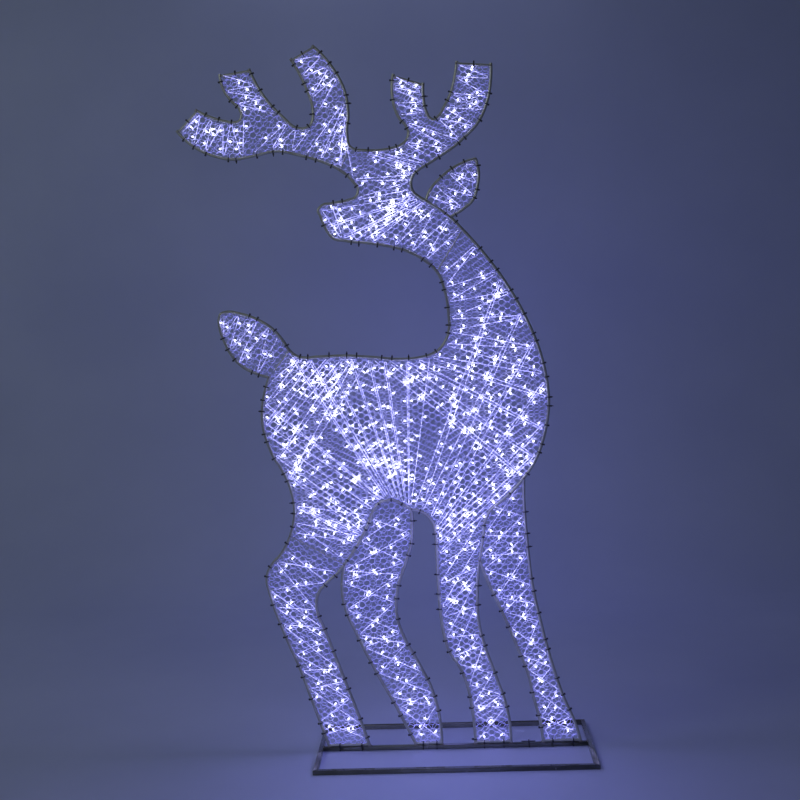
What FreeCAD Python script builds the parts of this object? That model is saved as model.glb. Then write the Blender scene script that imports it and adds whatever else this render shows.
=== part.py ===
import FreeCAD, Part
import math
import os

from FreeCAD import Placement, Rotation, Vector

# A flat light-up reindeer, 1.8 m tall. Bent steel rod draws the silhouette in the XZ plane and is
# filled with wire netting, strings of small LEDs are pulled across both faces, and the feet stand on
# the centre bar of a low rectangular floor frame. Millimetres, +Z up, -Y is the front.

ROD = 8.0                    # outline rod
BAR = 7.0                    # short bars across the antler tips and the feet
STAY = 4.0                   # thin stays across the tail, thigh, neck and antler root
BASE_WIDTH = 705.0
BASE_DEPTH = 325.0
BASE_TUBE = 12.0             # square tube of the floor frame
BASE_WALL = 1.2
TIP_REACH = 6.0              # a side rod runs this far past its tip bar's centre line
CENTRE_TUBE = 10.0           # the bar that the feet stand on
CENTRE_TOP = BASE_TUBE       # its top is level with the frame, so it clears the floor by 2 mm
BASE_X = 148.2               # the base's middle: the antlers reach further left than the base does
NET_THICKNESS = 1.2
NET_INSET = 6.2              # the netting's panels stop this far from the rods' centre lines
WIRE = 1.8                   # LED string
WIRE_PLANE = 4.4             # distance of each string from the netting's middle plane
WIRE_INSET = 8.5             # a string turns this far inside the rods' centre lines
WIRE_BEND = 2.5
TURN_LENGTH = 5.0            # the short stretch across the string's way at each turn
TURN_DRIFT = 0.24            # turns lie up to this share of their pitch off an even spacing
LED_PITCH = 50.0
LED_RADIUS = 2.2
LED_LENGTH = 9.0
LED_END = 14.0               # no LED sits nearer than this to the end of a run
LED_LEANS = [(0.0, 1), (0.9, 1), (0.0, -1), (0.9, -1), (-0.9, 1)]     # lean along the wire, side
TIE_BAND = 1.0
TIE_SLACK = 0.15             # between a tie and its rod
TIE_WIDTH = 2.6
TIE_HEAD = 4.2
TIE_CLEAR = 13.0             # no tie sits nearer than this to a welded joint, tie or other rod
TIE_PITCH = 40.0
LEG_TIE_PITCH = 56.0
TIE_DRIFT = 0.28             # ties sit up to this share of their pitch off an even spacing
SOCKET_RADIUS = 5.0          # low-voltage inlet, lying behind the centre bar
SOCKET_LENGTH = 36.0
SOCKET_X = 190.0             # its middle, from the base's middle
SOCKET_Y = CENTRE_TUBE / 2 + TIE_BAND + SOCKET_RADIUS + 0.3
SOCKET_Z = SOCKET_RADIUS + 1.6

# Outline points in millimetres: x from the middle of the base, z from the floor. Each chain is bent
# from one length of rod or is welded end to end, and every rod passes through its points. The legs
# are cut off level with the centre tube's top.
CHAINS = {
    # left antler's lower edge, face, jaw, throat, back and tail
    "back": [(-645, 1602), (-598, 1557), (-557, 1537), (-510, 1526), (-455, 1532), (-398, 1541),
          (-331, 1527), (-285, 1512), (-240, 1489), (-209, 1461), (-196, 1437), (-202, 1421),
          (-222, 1413), (-260, 1407), (-290, 1401), (-298, 1391), (-293, 1377), (-276, 1336),
          (-266, 1323), (-228, 1312), (-177, 1305), (-127, 1296), (-80, 1282), (-40, 1260),
          (-6, 1228), (13, 1177), (20, 1125), (19, 1078), (11, 1055), (-6, 1033), (-28, 1020),
          (-60, 1013), (-110, 1011), (-175, 1018), (-240, 1024), (-310, 1024), (-355, 1024),
          (-372, 1030), (-386, 1043), (-400, 1066), (-424, 1096), (-463, 1123), (-505, 1139),
          (-540, 1145), (-556, 1140), (-561, 1127), (-560, 1105), (-549, 1069), (-536, 1040),
          (-504, 1004), (-481, 991), (-440, 976)],
    # left antler's two forks
    "left_fork_a": [(-596, 1651), (-557, 1631), (-523, 1620), (-500, 1616), (-486, 1620), (-480, 1632),
          (-484, 1648), (-505, 1671), (-523, 1700), (-530, 1737)],
    "left_fork_b": [(-457, 1746), (-433, 1694), (-382, 1629), (-341, 1596), (-325, 1594), (-309, 1602),
          (-302, 1618), (-301, 1642), (-316, 1694), (-352, 1767)],
    # left antler's inner edge, crown and right antler's inner edge
    "crown": [(-297, 1796), (-245, 1734), (-222, 1686), (-214, 1630), (-219, 1575), (-213, 1546),
          (-202, 1538), (-183, 1535), (-113, 1536), (-92, 1541), (-73, 1553), (-65, 1573),
          (-71, 1591), (-85, 1608), (-96, 1632), (-102, 1668), (-98, 1719)],
    # right antler's fork
    "right_fork": [(-25, 1694), (-26, 1660), (-20, 1624), (-11, 1607), (-1, 1603), (10, 1610), (26, 1634),
          (42, 1664), (53, 1700), (60, 1743)],
    # right antler's outer edge, nape, chest and the near fore leg's front
    "chest": [(144, 1735), (142, 1694), (136, 1657), (111, 1597), (60, 1546), (-17, 1497),
          (-46, 1480), (-58, 1468), (-64, 1450), (-60, 1430), (-45, 1415), (-27, 1404),
          (31, 1362), (61, 1330), (113, 1268), (161, 1200), (213, 1104), (246, 1017),
          (262, 935), (264, 883), (258, 838), (247, 794), (231, 752), (196, 699), (155, 656),
          (125, 632), (108, 617), (97, 596), (88, 545), (78, 490), (71, 430), (69, 375),
          (72, 322), (84, 270), (110, 190), (134, 114), (143, 60), (144, 8)],
    # rump and the near hind leg's rear
    "rump": [(-440, 976), (-450, 948), (-461, 895), (-461, 850), (-445, 790), (-409, 720),
          (-395, 680), (-390, 630), (-404, 567), (-428, 523), (-455, 493), (-467, 470),
          (-469, 450), (-463, 420), (-427, 307), (-389, 209), (-366, 137), (-324, 8)],
    # near hind leg's front, the arch under the belly and the near fore leg's rear
    "belly": [(-220, 8), (-239, 70), (-279, 187), (-327, 325), (-341, 362), (-344, 390),
          (-338, 416), (-315, 443), (-286, 468), (-268, 489), (-242, 524), (-203, 592),
          (-189, 625), (-173, 645), (-155, 652), (-135, 652), (-112, 640), (-91, 628),
          (-70, 622), (-50, 609), (-37, 590), (-32, 560), (-30, 500), (-29, 430), (-26, 365),
          (-18, 297), (-5, 253), (20, 212), (38, 161), (48, 100), (53, 8)],
    # far hind leg
    "hind_rear": [(-268, 489), (-275, 450), (-275, 405), (-268, 370), (-243, 308), (-188, 190),
          (-154, 126), (-126, 68), (-98, 8)],
    "hind_front": [(-91, 628), (-91, 585), (-95, 538), (-108, 497), (-133, 425), (-139, 385),
          (-137, 345), (-122, 297), (-84, 222), (-57, 163), (-42, 110), (-36, 70), (-34, 8)],
    # far fore leg
    "fore_rear": [(78, 490), (93, 447), (131, 358), (174, 247), (193, 194), (204, 140), (223, 56),
          (228, 8)],
    "fore_front": [(196, 699), (195, 643), (200, 540), (210, 428), (229, 327), (257, 211), (276, 147),
          (317, 38), (324, 8)],
    # ear
    "ear_front": [(-27, 1404), (-15, 1432), (5, 1454), (47, 1485), (99, 1503)],
    "ear_rear": [(99, 1503), (105, 1475), (103, 1443), (85, 1397), (66, 1382), (31, 1362)],
}
# Which side of a chain's travel is the figure's outside.
OUTSIDE = {"back": -1, "left_fork_a": 1, "left_fork_b": 1, "crown": 1, "right_fork": 1, "chest": 1,
           "rump": -1, "belly": -1, "hind_rear": -1, "hind_front": 1, "fore_rear": -1,
           "fore_front": 1, "ear_front": 1, "ear_rear": 1}

# Rods cut from the chains: node name, chain, first and last point, and the rods that trim it.
RODS = [
    ("antler_left_beam", "back", 0, 8, []),
    ("brow_rod", "back", 8, 14, []),
    ("muzzle_rod", "back", 14, 17, []),
    ("jaw_rod", "back", 17, 24, []),
    ("throat_rod", "back", 24, 31, []),
    ("back_rod", "back", 31, 38, []),
    ("tail_top_rod", "back", 38, 44, []),
    ("tail_under_rod", "back", 44, 51, []),
    ("antler_left_lower_fork", "left_fork_a", 0, 9, []),
    ("antler_left_upper_fork", "left_fork_b", 0, 9, []),
    ("antler_left_inner_rod", "crown", 0, 5, []),
    ("crown_rod", "crown", 5, 10, []),
    ("antler_right_inner_rod", "crown", 10, 16, []),
    ("antler_right_fork", "right_fork", 0, 9, []),
    ("antler_right_beam", "chest", 0, 10, []),
    ("nape_rod", "chest", 10, 13, []),
    ("chest_upper_rod", "chest", 13, 18, []),
    ("chest_lower_rod", "chest", 18, 26, []),
    ("fore_leg_near_front_rod", "chest", 26, 37, []),
    ("rump_rod", "rump", 0, 8, ["tail_under_rod"]),
    ("hind_leg_near_rear_rod", "rump", 8, 17, []),
    ("hind_leg_near_front_rod", "belly", 0, 9, []),
    ("groin_rod", "belly", 9, 17, []),
    ("fore_leg_near_rear_rod", "belly", 17, 30, []),
    ("hind_leg_far_rear_rod", "hind_rear", 0, 8, ["hind_leg_near_front_rod", "groin_rod"]),
    ("hind_leg_far_front_rod", "hind_front", 0, 12, ["groin_rod", "fore_leg_near_rear_rod"]),
    ("fore_leg_far_rear_rod", "fore_rear", 0, 7, ["fore_leg_near_front_rod"]),
    ("fore_leg_far_front_rod", "fore_front", 0, 8, ["chest_lower_rod"]),
    ("ear_front_rod", "ear_front", 0, 4, ["nape_rod"]),
    ("ear_rear_rod", "ear_rear", 0, 5, ["nape_rod", "ear_front_rod"]),
]

# Thin stays, welded between two points of the outline.
STAYS = [
    ("tail_stay", ("back", 38), ("rump", 0)),
    ("thigh_stay", ("rump", 8), ("belly", 9)),
    ("neck_stay", ("back", 24), ("chest", 13)),
    ("antler_stay", ("back", 8), ("crown", 5)),
]

# Antler tips: each bar's two side rods, which run on past it, and the chain points they end at.
TIPS = {
    "antler_left_tip_bars": [
        ("antler_left_beam", ("back", 0), "antler_left_lower_fork", ("left_fork_a", 0)),
        ("antler_left_lower_fork", ("left_fork_a", 9), "antler_left_upper_fork", ("left_fork_b", 0)),
        ("antler_left_upper_fork", ("left_fork_b", 9), "antler_left_inner_rod", ("crown", 0)),
    ],
    "antler_right_tip_bars": [
        ("antler_right_inner_rod", ("crown", 16), "antler_right_fork", ("right_fork", 0)),
        ("antler_right_fork", ("right_fork", 9), "antler_right_beam", ("chest", 0)),
    ],
}

FEET = [
    ("hind_leg_near_foot_bar", ("rump", 17), ("belly", 0)),
    ("hind_leg_far_foot_bar", ("hind_rear", 8), ("hind_front", 12)),
    ("fore_leg_near_foot_bar", ("belly", 30), ("chest", 37)),
    ("fore_leg_far_foot_bar", ("fore_rear", 7), ("fore_front", 8)),
]

# Netting panels: the stretches of chain round each one, anticlockwise from the front.
NETS = {
    "antler_left_net": [("back", 0, 8), ("crown", 5, 0), ("left_fork_b", 9, 0),
                        ("left_fork_a", 9, 0)],
    "head_net": [("back", 8, 24), ("chest", 13, 0), ("right_fork", 9, 0), ("crown", 16, 5)],
    "ear_net": [("chest", 11, 12), ("ear_rear", 5, 0), ("ear_front", 4, 0)],
    "tail_net": [("back", 38, 51)],
    "body_net": [("back", 24, 38), ("rump", 0, 8), ("belly", 9, 30), ("chest", 37, 13)],
    "hind_leg_near_net": [("rump", 8, 17), ("belly", 0, 9)],
    "hind_leg_far_net": [("hind_rear", 0, 8), ("hind_front", 12, 0), ("belly", 17, 9)],
    "fore_leg_far_net": [("fore_rear", 0, 7), ("fore_front", 8, 0), ("chest", 23, 29)],
}

# LED strings: each is pulled to and fro between two rails, a rail being stretches of chain.
# Rail, rail, number of runs.
FRONT_STRINGS = [
    ([("back", 0, 4)], [("left_fork_a", 0, 5)], 9),
    ([("back", 4, 6)], [("left_fork_b", 2, 5)], 5),
    ([("back", 6, 9)], [("crown", 2, 5)], 6),
    ([("left_fork_a", 9, 5)], [("left_fork_b", 0, 2)], 5),
    ([("left_fork_b", 9, 6)], [("crown", 0, 2)], 6),
    ([("crown", 16, 13)], [("right_fork", 0, 3)], 6),
    ([("right_fork", 9, 4), ("crown", 13, 9)], [("chest", 0, 5)], 13),
    ([("crown", 9, 6), ("back", 9, 12)], [("chest", 5, 9)], 9),
    ([("back", 15, 12), ("chest", 9, 13)], [("back", 17, 24)], 12),
    ([("ear_front", 0, 4)], [("ear_rear", 5, 0)], 7),
    ([("back", 39, 44)], [("back", 51, 45)], 8),
    ([("rump", 3, 1), ("back", 38, 30)], [("belly", 13, 17)], 18),
    ([("belly", 17, 22)], [("chest", 14, 24)], 13),
    ([("rump", 3, 8)], [("belly", 13, 10)], 8),
    ([("rump", 8, 17)], [("belly", 9, 0)], 9),
    ([("belly", 12, 9), ("hind_rear", 0, 8)], [("belly", 16, 17), ("hind_front", 0, 12)], 10),
    ([("belly", 22, 30)], [("chest", 26, 37)], 10),
    ([("chest", 25, 29), ("fore_rear", 0, 7)], [("fore_front", 0, 8)], 11),
]
REAR_STRINGS = [
    ([("back", 14, 20)], [("chest", 9, 11)], 6),
    ([("rump", 0, 6)], [("back", 38, 33)], 11),
    ([("back", 24, 33)], [("chest", 13, 24)], 20),
    ([("belly", 9, 12)], [("rump", 8, 6)], 4),
    ([("belly", 9, 0)], [("rump", 8, 17)], 9),
    ([("belly", 16, 17), ("hind_front", 0, 12)], [("belly", 12, 9), ("hind_rear", 0, 8)], 10),
    ([("chest", 26, 37)], [("belly", 22, 30)], 10),
    ([("fore_front", 0, 8)], [("chest", 25, 29), ("fore_rear", 0, 7)], 11),
]


def placed(x, z, y=0.0):
    """A point of the figure, given from the middle of the base, in the part's own frame."""
    return Vector(x + BASE_X, y, z)


def rotated(vector):
    """The vector turned a quarter turn in the figure's plane."""
    return Vector(-vector.z, 0, vector.x)


def unit(vector):
    return vector / vector.Length


def arc_or_line(start, direction, end):
    """The edge that leaves start along direction and ends at end."""
    chord = end - start
    across = rotated(unit(chord))
    along = direction.dot(unit(chord))
    turn = math.atan2(direction.dot(across), along)
    if abs(turn) < 0.002:
        return Part.LineSegment(start, end).toShape()
    middle = start + chord * 0.5 + across * (chord.Length / 2 * math.tan(turn / 2))
    return Part.Arc(start, middle, end).toShape()


def biarc(start, start_way, end, end_way):
    """Two tangent arcs from start to end with the given directions."""
    chord = end - start
    ways = start_way + end_way
    spread = 2 * (1 - start_way.dot(end_way))
    reach = chord.dot(ways)
    if spread < 1e-6:
        length = chord.dot(chord) / (4 * chord.dot(end_way))
    else:
        length = (-reach + math.sqrt(reach * reach + spread * chord.dot(chord))) / spread
    joint = (start + end + (start_way - end_way) * length) * 0.5
    joint_way = unit((end - start) - (start_way + end_way) * length)
    return [arc_or_line(start, start_way, joint), arc_or_line(joint, joint_way, end)]


def chain_ways(points):
    """The direction of the rod at each point of a chain."""
    steps = [b - a for a, b in zip(points, points[1:])]
    ways = [None] * len(points)
    for i in range(1, len(points) - 1):
        before, after = steps[i - 1], steps[i]
        ways[i] = unit(unit(before) * after.Length + unit(after) * before.Length)
    first, last = unit(steps[0]), unit(steps[-1])
    ways[0] = unit(first * (2 * first.dot(ways[1])) - ways[1])
    ways[-1] = unit(last * (2 * last.dot(ways[-2])) - ways[-2])
    return ways


def chain_spans(name):
    """One list of edges for each pair of neighbouring points of a chain."""
    points = [placed(x, z) for x, z in CHAINS[name]]
    ways = chain_ways(points)
    return [biarc(points[i], ways[i], points[i + 1], ways[i + 1]) for i in range(len(points) - 1)]


SPANS = {name: chain_spans(name) for name in CHAINS}


def stretch(chain, first, last):
    """The edges of a chain from one point to another, in travel order."""
    low, high = sorted((first, last))
    edges = [edge for span in SPANS[chain][low:high] for edge in span]
    return edges if first <= last else edges[::-1]


def corner(chain, index):
    x, z = CHAINS[chain][index]
    return placed(x, z)


def swept(edges, radius):
    """A round rod along a smooth path."""
    path = Part.Wire(edges)
    start = edges[0].valueAt(edges[0].FirstParameter)
    way = edges[0].tangentAt(edges[0].FirstParameter)
    ring = Part.Wire(Part.Circle(start, way, radius).toShape())
    rod = path.makePipeShell([ring], True, False)
    wanted = math.pi * radius * radius * path.Length
    if not rod.isValid() or abs(rod.Volume / wanted - 1) > 0.01:
        print("swept rod differs from its section times length", rod.Volume / wanted)
    return rod


def straight_rod(start, end, radius):
    return Part.makeCylinder(radius, (end - start).Length, start, end - start)


def largest(shape):
    return max(shape.Solids, key=lambda solid: solid.Volume)


def make_rods():
    """The outline rods, each coped against the rods it is welded to."""
    rods = {}
    below = Part.makeBox(BASE_WIDTH, 2 * ROD, CENTRE_TOP, placed(-BASE_WIDTH / 2, 0, -ROD))
    for name, chain, first, last, trimmed_by in RODS:
        rod = swept(stretch(chain, first, last), ROD / 2)
        if "_leg_" in name:
            rod = largest(rod.cut(below))
        for other in trimmed_by:
            rod = largest(rod.cut(rods[other]))
        rods[name] = rod
    return rods


def tip_bar_end(chain, index):
    """Where a tip bar's centre line meets a side rod's, a little short of that rod's end."""
    end, inner = corner(chain, index), corner(chain, 1 if index == 0 else index - 1)
    return end + unit(inner - end) * TIP_REACH


def tip_bar_lines():
    return {node: [(tip_bar_end(*left), tip_bar_end(*right)) for rod_a, left, rod_b, right in tips]
            for node, tips in TIPS.items()}


def add_tips(rods):
    for node, lines in tip_bar_lines().items():
        bars = []
        for line, (left_rod, left, right_rod, right) in zip(lines, TIPS[node]):
            bar = largest(straight_rod(*line, BAR / 2).cut(rods[left_rod]))
            bars.append(largest(bar.cut(rods[right_rod])))
        rods[node] = Part.makeCompound(bars)


def stay_end(here, there):
    """Where a stay that runs from here to there is cut square, just clear of the rod at here."""
    chain, index = here
    spots = [placed(x, z) for x, z in CHAINS[chain]]
    way = unit(corner(*there) - spots[index])
    lean = abs(way.dot(chain_ways(spots)[index]))
    return spots[index] + way * ((ROD + STAY * lean) / 2 / math.sqrt(1 - lean * lean) + 0.05)


def stay_lines():
    return {name: (stay_end(start, end), stay_end(end, start)) for name, start, end in STAYS}


def add_stays(rods):
    """Each stay butts against the two rods that it joins."""
    for name, line in stay_lines().items():
        rods[name] = straight_rod(*line, STAY / 2)


def foot_bar_ends(start, end):
    """A foot bar's centre line: it lies on the centre tube between the leg rods' ends."""
    lift = Vector(0, 0, CENTRE_TOP + BAR / 2 - corner(*start).z)
    return corner(*start) + lift, corner(*end) + lift


def rod_marks():
    """Points about 6 mm apart on the centre line of every rod, bar and stay, for clearances."""
    edges = [edge for spans in SPANS.values() for span in spans for edge in span]
    lines = [line for lines in tip_bar_lines().values() for line in lines]
    lines += list(stay_lines().values())
    lines += [foot_bar_ends(start, end) for name, start, end in FEET]
    edges += [Part.LineSegment(*line).toShape() for line in lines]
    return [point for edge in edges for point in edge.discretize(max(2, round(edge.Length / 6)))]


ROD_MARKS = rod_marks()


def add_feet(rods):
    legs = [rod for name, rod in rods.items() if "_leg_" in name]
    for name, start, end in FEET:
        bar = straight_rod(*foot_bar_ends(start, end), BAR / 2)
        for leg in legs:
            bar = largest(bar.cut(leg))
        rods[name] = bar


def ring_corner(inset, index):
    """A corner of the floor frame's plan, moved in by inset."""
    half_x, half_y = BASE_WIDTH / 2 - inset, BASE_DEPTH / 2 - inset
    x, y = [(-half_x, -half_y), (half_x, -half_y), (half_x, half_y), (-half_x, half_y)][index % 4]
    return Vector(x + BASE_X, y, 0)


def mitred_prism(index, outer, inner, low, high):
    """One side of the floor frame between two insets, mitred at both ends."""
    corners = [ring_corner(outer, index), ring_corner(outer, index + 1),
               ring_corner(inner, index + 1), ring_corner(inner, index)]
    lift = Vector(0, 0, low)
    outline = Part.makePolygon([point + lift for point in corners + corners[:1]])
    return Part.Face(outline).extrude(Vector(0, 0, high - low))


def make_base():
    parts = {}
    for index, side in enumerate(["front", "right", "rear", "left"]):
        outer = mitred_prism(index, 0, BASE_TUBE, 0, BASE_TUBE)
        bore = mitred_prism(index, BASE_WALL, BASE_TUBE - BASE_WALL, BASE_WALL,
                            BASE_TUBE - BASE_WALL)
        parts["base_" + side + "_tube"] = outer.cut(bore)
    length = BASE_WIDTH - 2 * BASE_TUBE
    low = CENTRE_TOP - CENTRE_TUBE
    outer = Part.makeBox(length, CENTRE_TUBE, CENTRE_TUBE,
                         Vector(BASE_X - length / 2, -CENTRE_TUBE / 2, low))
    hollow = CENTRE_TUBE - 2 * BASE_WALL
    bore = Part.makeBox(length, hollow, hollow,
                        Vector(BASE_X - length / 2, -hollow / 2, low + BASE_WALL))
    parts["base_centre_tube"] = outer.cut(bore)
    return parts


def closing_edges(leaving, arriving):
    """The side of a panel between two chains; the netting runs close up to a stay."""
    start, end = corner(*leaving), corner(*arriving)
    if (end - start).Length < 0.01:
        return []
    corners = [start, end]
    if any({leaving, arriving} == {first, second} for name, first, second in STAYS):
        reach = rotated(unit(start - end)) * (NET_INSET - STAY / 2 - 0.5)
        corners = [start, start + reach, end + reach, end]
    return [Part.LineSegment(a, b).toShape() for a, b in zip(corners, corners[1:])]


def make_net(stretches):
    """A thin panel filling a loop of rods, set in from their centre lines."""
    edges = []
    for here, following in zip(stretches, stretches[1:] + stretches[:1]):
        edges += stretch(*here)
        edges += closing_edges((here[0], here[2]), (following[0], following[1]))
    face = Part.Face(Part.Wire(edges))
    panel = max(face.makeOffset2D(-NET_INSET).Faces, key=lambda found: found.Area)
    panel.translate(Vector(0, -NET_THICKNESS / 2, 0))
    panel = panel.extrude(Vector(0, NET_THICKNESS, 0))
    bars = [line for lines in tip_bar_lines().values() for line in lines]
    bars += [foot_bar_ends(start, end) for name, start, end in FEET]
    return largest(panel.cut([straight_rod(*bar, NET_INSET) for bar in bars]))


def rail_point(rail, fraction):
    """The point and direction at a fraction of a rail's length, and the side it is held from."""
    edges = [(edge, item) for item in rail for edge in stretch(*item)]
    left = fraction * sum(edge.Length for edge, item in edges)
    for edge, item in edges:
        if left <= edge.Length + 1e-6:
            break
        left -= edge.Length
    backwards = item[1] > item[2]
    along = edge.Length - left if backwards else left
    parameter = edge.getParameterByLength(min(max(along, 0), edge.Length))
    way = edge.tangentAt(parameter)
    inside = rotated(way) * (-OUTSIDE[item[0]])
    return edge.valueAt(parameter), (way * -1 if backwards else way), inside


def turning_spot(rail, other, fraction):
    """Where a string turns at a fraction of a rail's length, inside the rod."""
    spot, way, inside = rail_point(rail, fraction)
    across = unit(rail_point(other, fraction)[0] - spot)
    return spot + (across if across.dot(inside) < 0 else inside) * WIRE_INSET


def string_route(rail_a, rail_b, runs):
    """Corner points of a string pulled to and fro between two rails, two for each turn."""
    rails = [(rail_a, rail_b), (rail_b, rail_a)]
    places = [(turn + 0.5 + TURN_DRIFT * math.sin(2.2 * turn + runs)) / (runs + 1)
              for turn in range(runs + 1)]
    spots = [turning_spot(*rails[turn % 2], place) for turn, place in enumerate(places)]
    points = spots[:1]
    for before, here, after in zip(spots, spots[1:], spots[2:]):
        across = rotated(unit(unit(before - here) + unit(after - here))) * (TURN_LENGTH / 2)
        if across.dot(after - before) < 0:
            across = across * -1
        points += [here - across, here + across]
    return points + spots[-1:]


def rounded_path(points, bend):
    """Straight runs joined by tangent arcs."""
    edges = []
    start = points[0]
    for before, here, after in zip(points, points[1:], points[2:]):
        back, onward = unit(before - here), unit(after - here)
        half = math.acos(max(-1, min(1, back.dot(onward)))) / 2
        reach = min(bend / math.tan(half), 0.45 * (here - before).Length,
                    0.45 * (after - here).Length)
        radius = reach * math.tan(half)
        leave, join = here + back * reach, here + onward * reach
        middle = here + unit(back + onward) * (radius / math.sin(half) - radius)
        edges.append(Part.LineSegment(start, leave).toShape())
        edges.append(Part.Arc(leave, middle, join).toShape())
        start = join
    edges.append(Part.LineSegment(start, points[-1]).toShape())
    return edges


def led_bulb():
    """One LED: a round-nosed cylinder along +X with its foot at the origin."""
    nose = LED_LENGTH - LED_RADIUS
    profile = [Part.LineSegment(Vector(0, 0, 0), Vector(0, LED_RADIUS, 0)).toShape(),
               Part.LineSegment(Vector(0, LED_RADIUS, 0), Vector(nose, LED_RADIUS, 0)).toShape(),
               Part.Arc(Vector(nose, LED_RADIUS, 0),
                        Vector(nose + LED_RADIUS * math.sqrt(0.5), LED_RADIUS * math.sqrt(0.5), 0),
                        Vector(LED_LENGTH, 0, 0)).toShape(),
               Part.LineSegment(Vector(LED_LENGTH, 0, 0), Vector(0, 0, 0)).toShape()]
    return Part.Face(Part.Wire(profile)).revolve(Vector(0, 0, 0), Vector(1, 0, 0), 360)


def segment_distance(point, start, end):
    """Distance from a point to a straight stretch."""
    way = end - start
    along = max(0.0, min(1.0, (point - start).dot(way) / way.dot(way)))
    return (point - start - way * along).Length


def led_fits(foot, out, own, runs, taken):
    """True when an LED clears the rods, the other runs of wire and the LEDs already placed."""
    marks = [foot + out * reach for reach in (LED_RADIUS, LED_LENGTH / 2, LED_LENGTH - LED_RADIUS)]
    for mark in ROD_MARKS:
        if abs(mark.x - marks[1].x) < 2 * LED_LENGTH and abs(mark.z - marks[1].z) < 2 * LED_LENGTH:
            if min((m - mark).Length for m in marks) < ROD / 2 + TIE_BAND + LED_RADIUS:
                return False
    for run in runs:
        if run is not own and min(segment_distance(m, *run) for m in marks) < LED_RADIUS + WIRE:
            return False
    for other in taken:
        if (other[1] - marks[1]).Length < 2 * LED_LENGTH:
            if min((m - o).Length for m in marks for o in other) < 2 * LED_RADIUS + 1:
                return False
    taken.append(marks)
    return True


def led_spot(run, walked, side, runs, taken):
    """The first place near walked along the run where an LED clears everything, or None."""
    start, end = run
    length, way = (end - start).Length, unit(end - start)
    for lean, face in LED_LEANS:
        across = rotated(way) * (side * face)
        out = way * math.sin(lean) + across * math.cos(lean)
        for slide in (0, 6, -6, 12, -12):
            along = min(max(walked + slide, LED_END), length - LED_END)
            stand_off = WIRE / 2 + LED_RADIUS * abs(math.sin(lean))
            foot = start + way * along + across * stand_off
            if led_fits(foot, out, run, runs, taken):
                return foot, out
    return None


def led_places(runs):
    """Foot and direction of every LED: at an even pitch, moved a little where it would foul."""
    places, taken = [], []
    walked, side = LED_PITCH / 2, 1
    for run in runs:
        length = (run[1] - run[0]).Length
        while walked < length:
            spot = led_spot(run, walked, side, runs, taken) if length > 2 * LED_END else None
            if spot:
                places.append(spot)
                side = -side
            walked += LED_PITCH
        walked -= length
    return places


def make_strings(strings, plane, lead=()):
    """All strings of one face, and their LEDs. The last string runs on along the lead."""
    shift = Vector(0, plane, 0)
    routes = [[point + shift for point in string_route(*string)] for string in strings]
    runs = [run for route in routes for run in zip(route, route[1:])]
    routes[-1] += lead
    wires = [swept(rounded_path(route, WIRE_BEND), WIRE / 2) for route in routes]
    bulb, bulbs = led_bulb(), []
    for foot, out in led_places(runs):
        copy = bulb.copy()
        copy.Placement = Placement(foot, Rotation(Vector(1, 0, 0), out))
        bulbs.append(copy)
    return wires, Part.makeCompound(bulbs)


def rod_tie():
    """A zip tie round a rod along +X, its head towards +Z."""
    inner = ROD / 2 + TIE_SLACK
    band = Part.makeCylinder(inner + TIE_BAND, TIE_WIDTH, Vector(-TIE_WIDTH / 2, 0, 0),
                             Vector(1, 0, 0))
    bore = Part.makeCylinder(inner, TIE_WIDTH, Vector(-TIE_WIDTH / 2, 0, 0), Vector(1, 0, 0))
    head = Part.makeBox(TIE_HEAD, TIE_HEAD, TIE_HEAD - TIE_BAND,
                        Vector(-TIE_HEAD / 2, -TIE_HEAD / 2, inner + TIE_BAND / 2))
    return band.fuse(head).cut(bore)


def foot_tie():
    """A zip tie round a foot bar and the centre tube under it, its head at the front."""
    half, top, low = CENTRE_TUBE / 2, CENTRE_TOP + BAR, CENTRE_TOP - CENTRE_TUBE
    outer = Part.makeBox(TIE_WIDTH, 2 * (half + TIE_BAND), top - low + 2 * TIE_BAND,
                         Vector(-TIE_WIDTH / 2, -half - TIE_BAND, low - TIE_BAND))
    bore = Part.makeBox(TIE_WIDTH, 2 * half, top - low, Vector(-TIE_WIDTH / 2, -half, low))
    head = Part.makeBox(TIE_HEAD, TIE_HEAD - TIE_BAND, TIE_HEAD,
                        Vector(-TIE_HEAD / 2, -half - TIE_HEAD, CENTRE_TOP))
    return outer.cut(bore).fuse(head)


def tie_heading(spot, outside, panels):
    """The head points away from the figure, or to the front where netting or a rod is in its way."""
    probe = spot + outside * (NET_INSET + TIE_HEAD / 2)
    netted = any(panel.isInside(probe, 0.1, True) for panel in panels)
    if netted or any((mark - probe).Length < ROD for mark in ROD_MARKS):
        return Vector(0, -1, 0)
    return outside


def tie_fits(spot, way):
    """True when no other rod, bar or stay comes near a tie round the rod at spot."""
    for mark in ROD_MARKS:
        along = (mark - spot).dot(way)
        beside = (mark - spot - way * along).Length
        if abs(along) < ROD and ROD / 2 < beside < TIE_CLEAR:
            return False
    return True


def rod_tie_places(panels):
    """Spot, rod direction and head direction of every tie round an outline rod."""
    joints = [corner(*end) for stay in STAYS for end in stay[1:]]
    joints += [corner(chain, first) for name, chain, first, last, trimmed_by in RODS]
    places = []
    for name, chain, first, last, trimmed_by in RODS:
        length = sum(edge.Length for edge in stretch(chain, first, last))
        count = max(1, round(length / (LEG_TIE_PITCH if "_leg_" in name else TIE_PITCH)))
        for i in range(count):
            place = (i + 0.5 + TIE_DRIFT * math.sin(2.4 * i + length)) / count
            spot, way, inside = rail_point([(chain, first, last)], place)
            near = [(spot - point).Length for point in joints + [found[0] for found in places]]
            if min(near) > TIE_CLEAR and tie_fits(spot, way):
                places.append((spot, way, tie_heading(spot, inside * -1, panels)))
    return places


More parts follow.
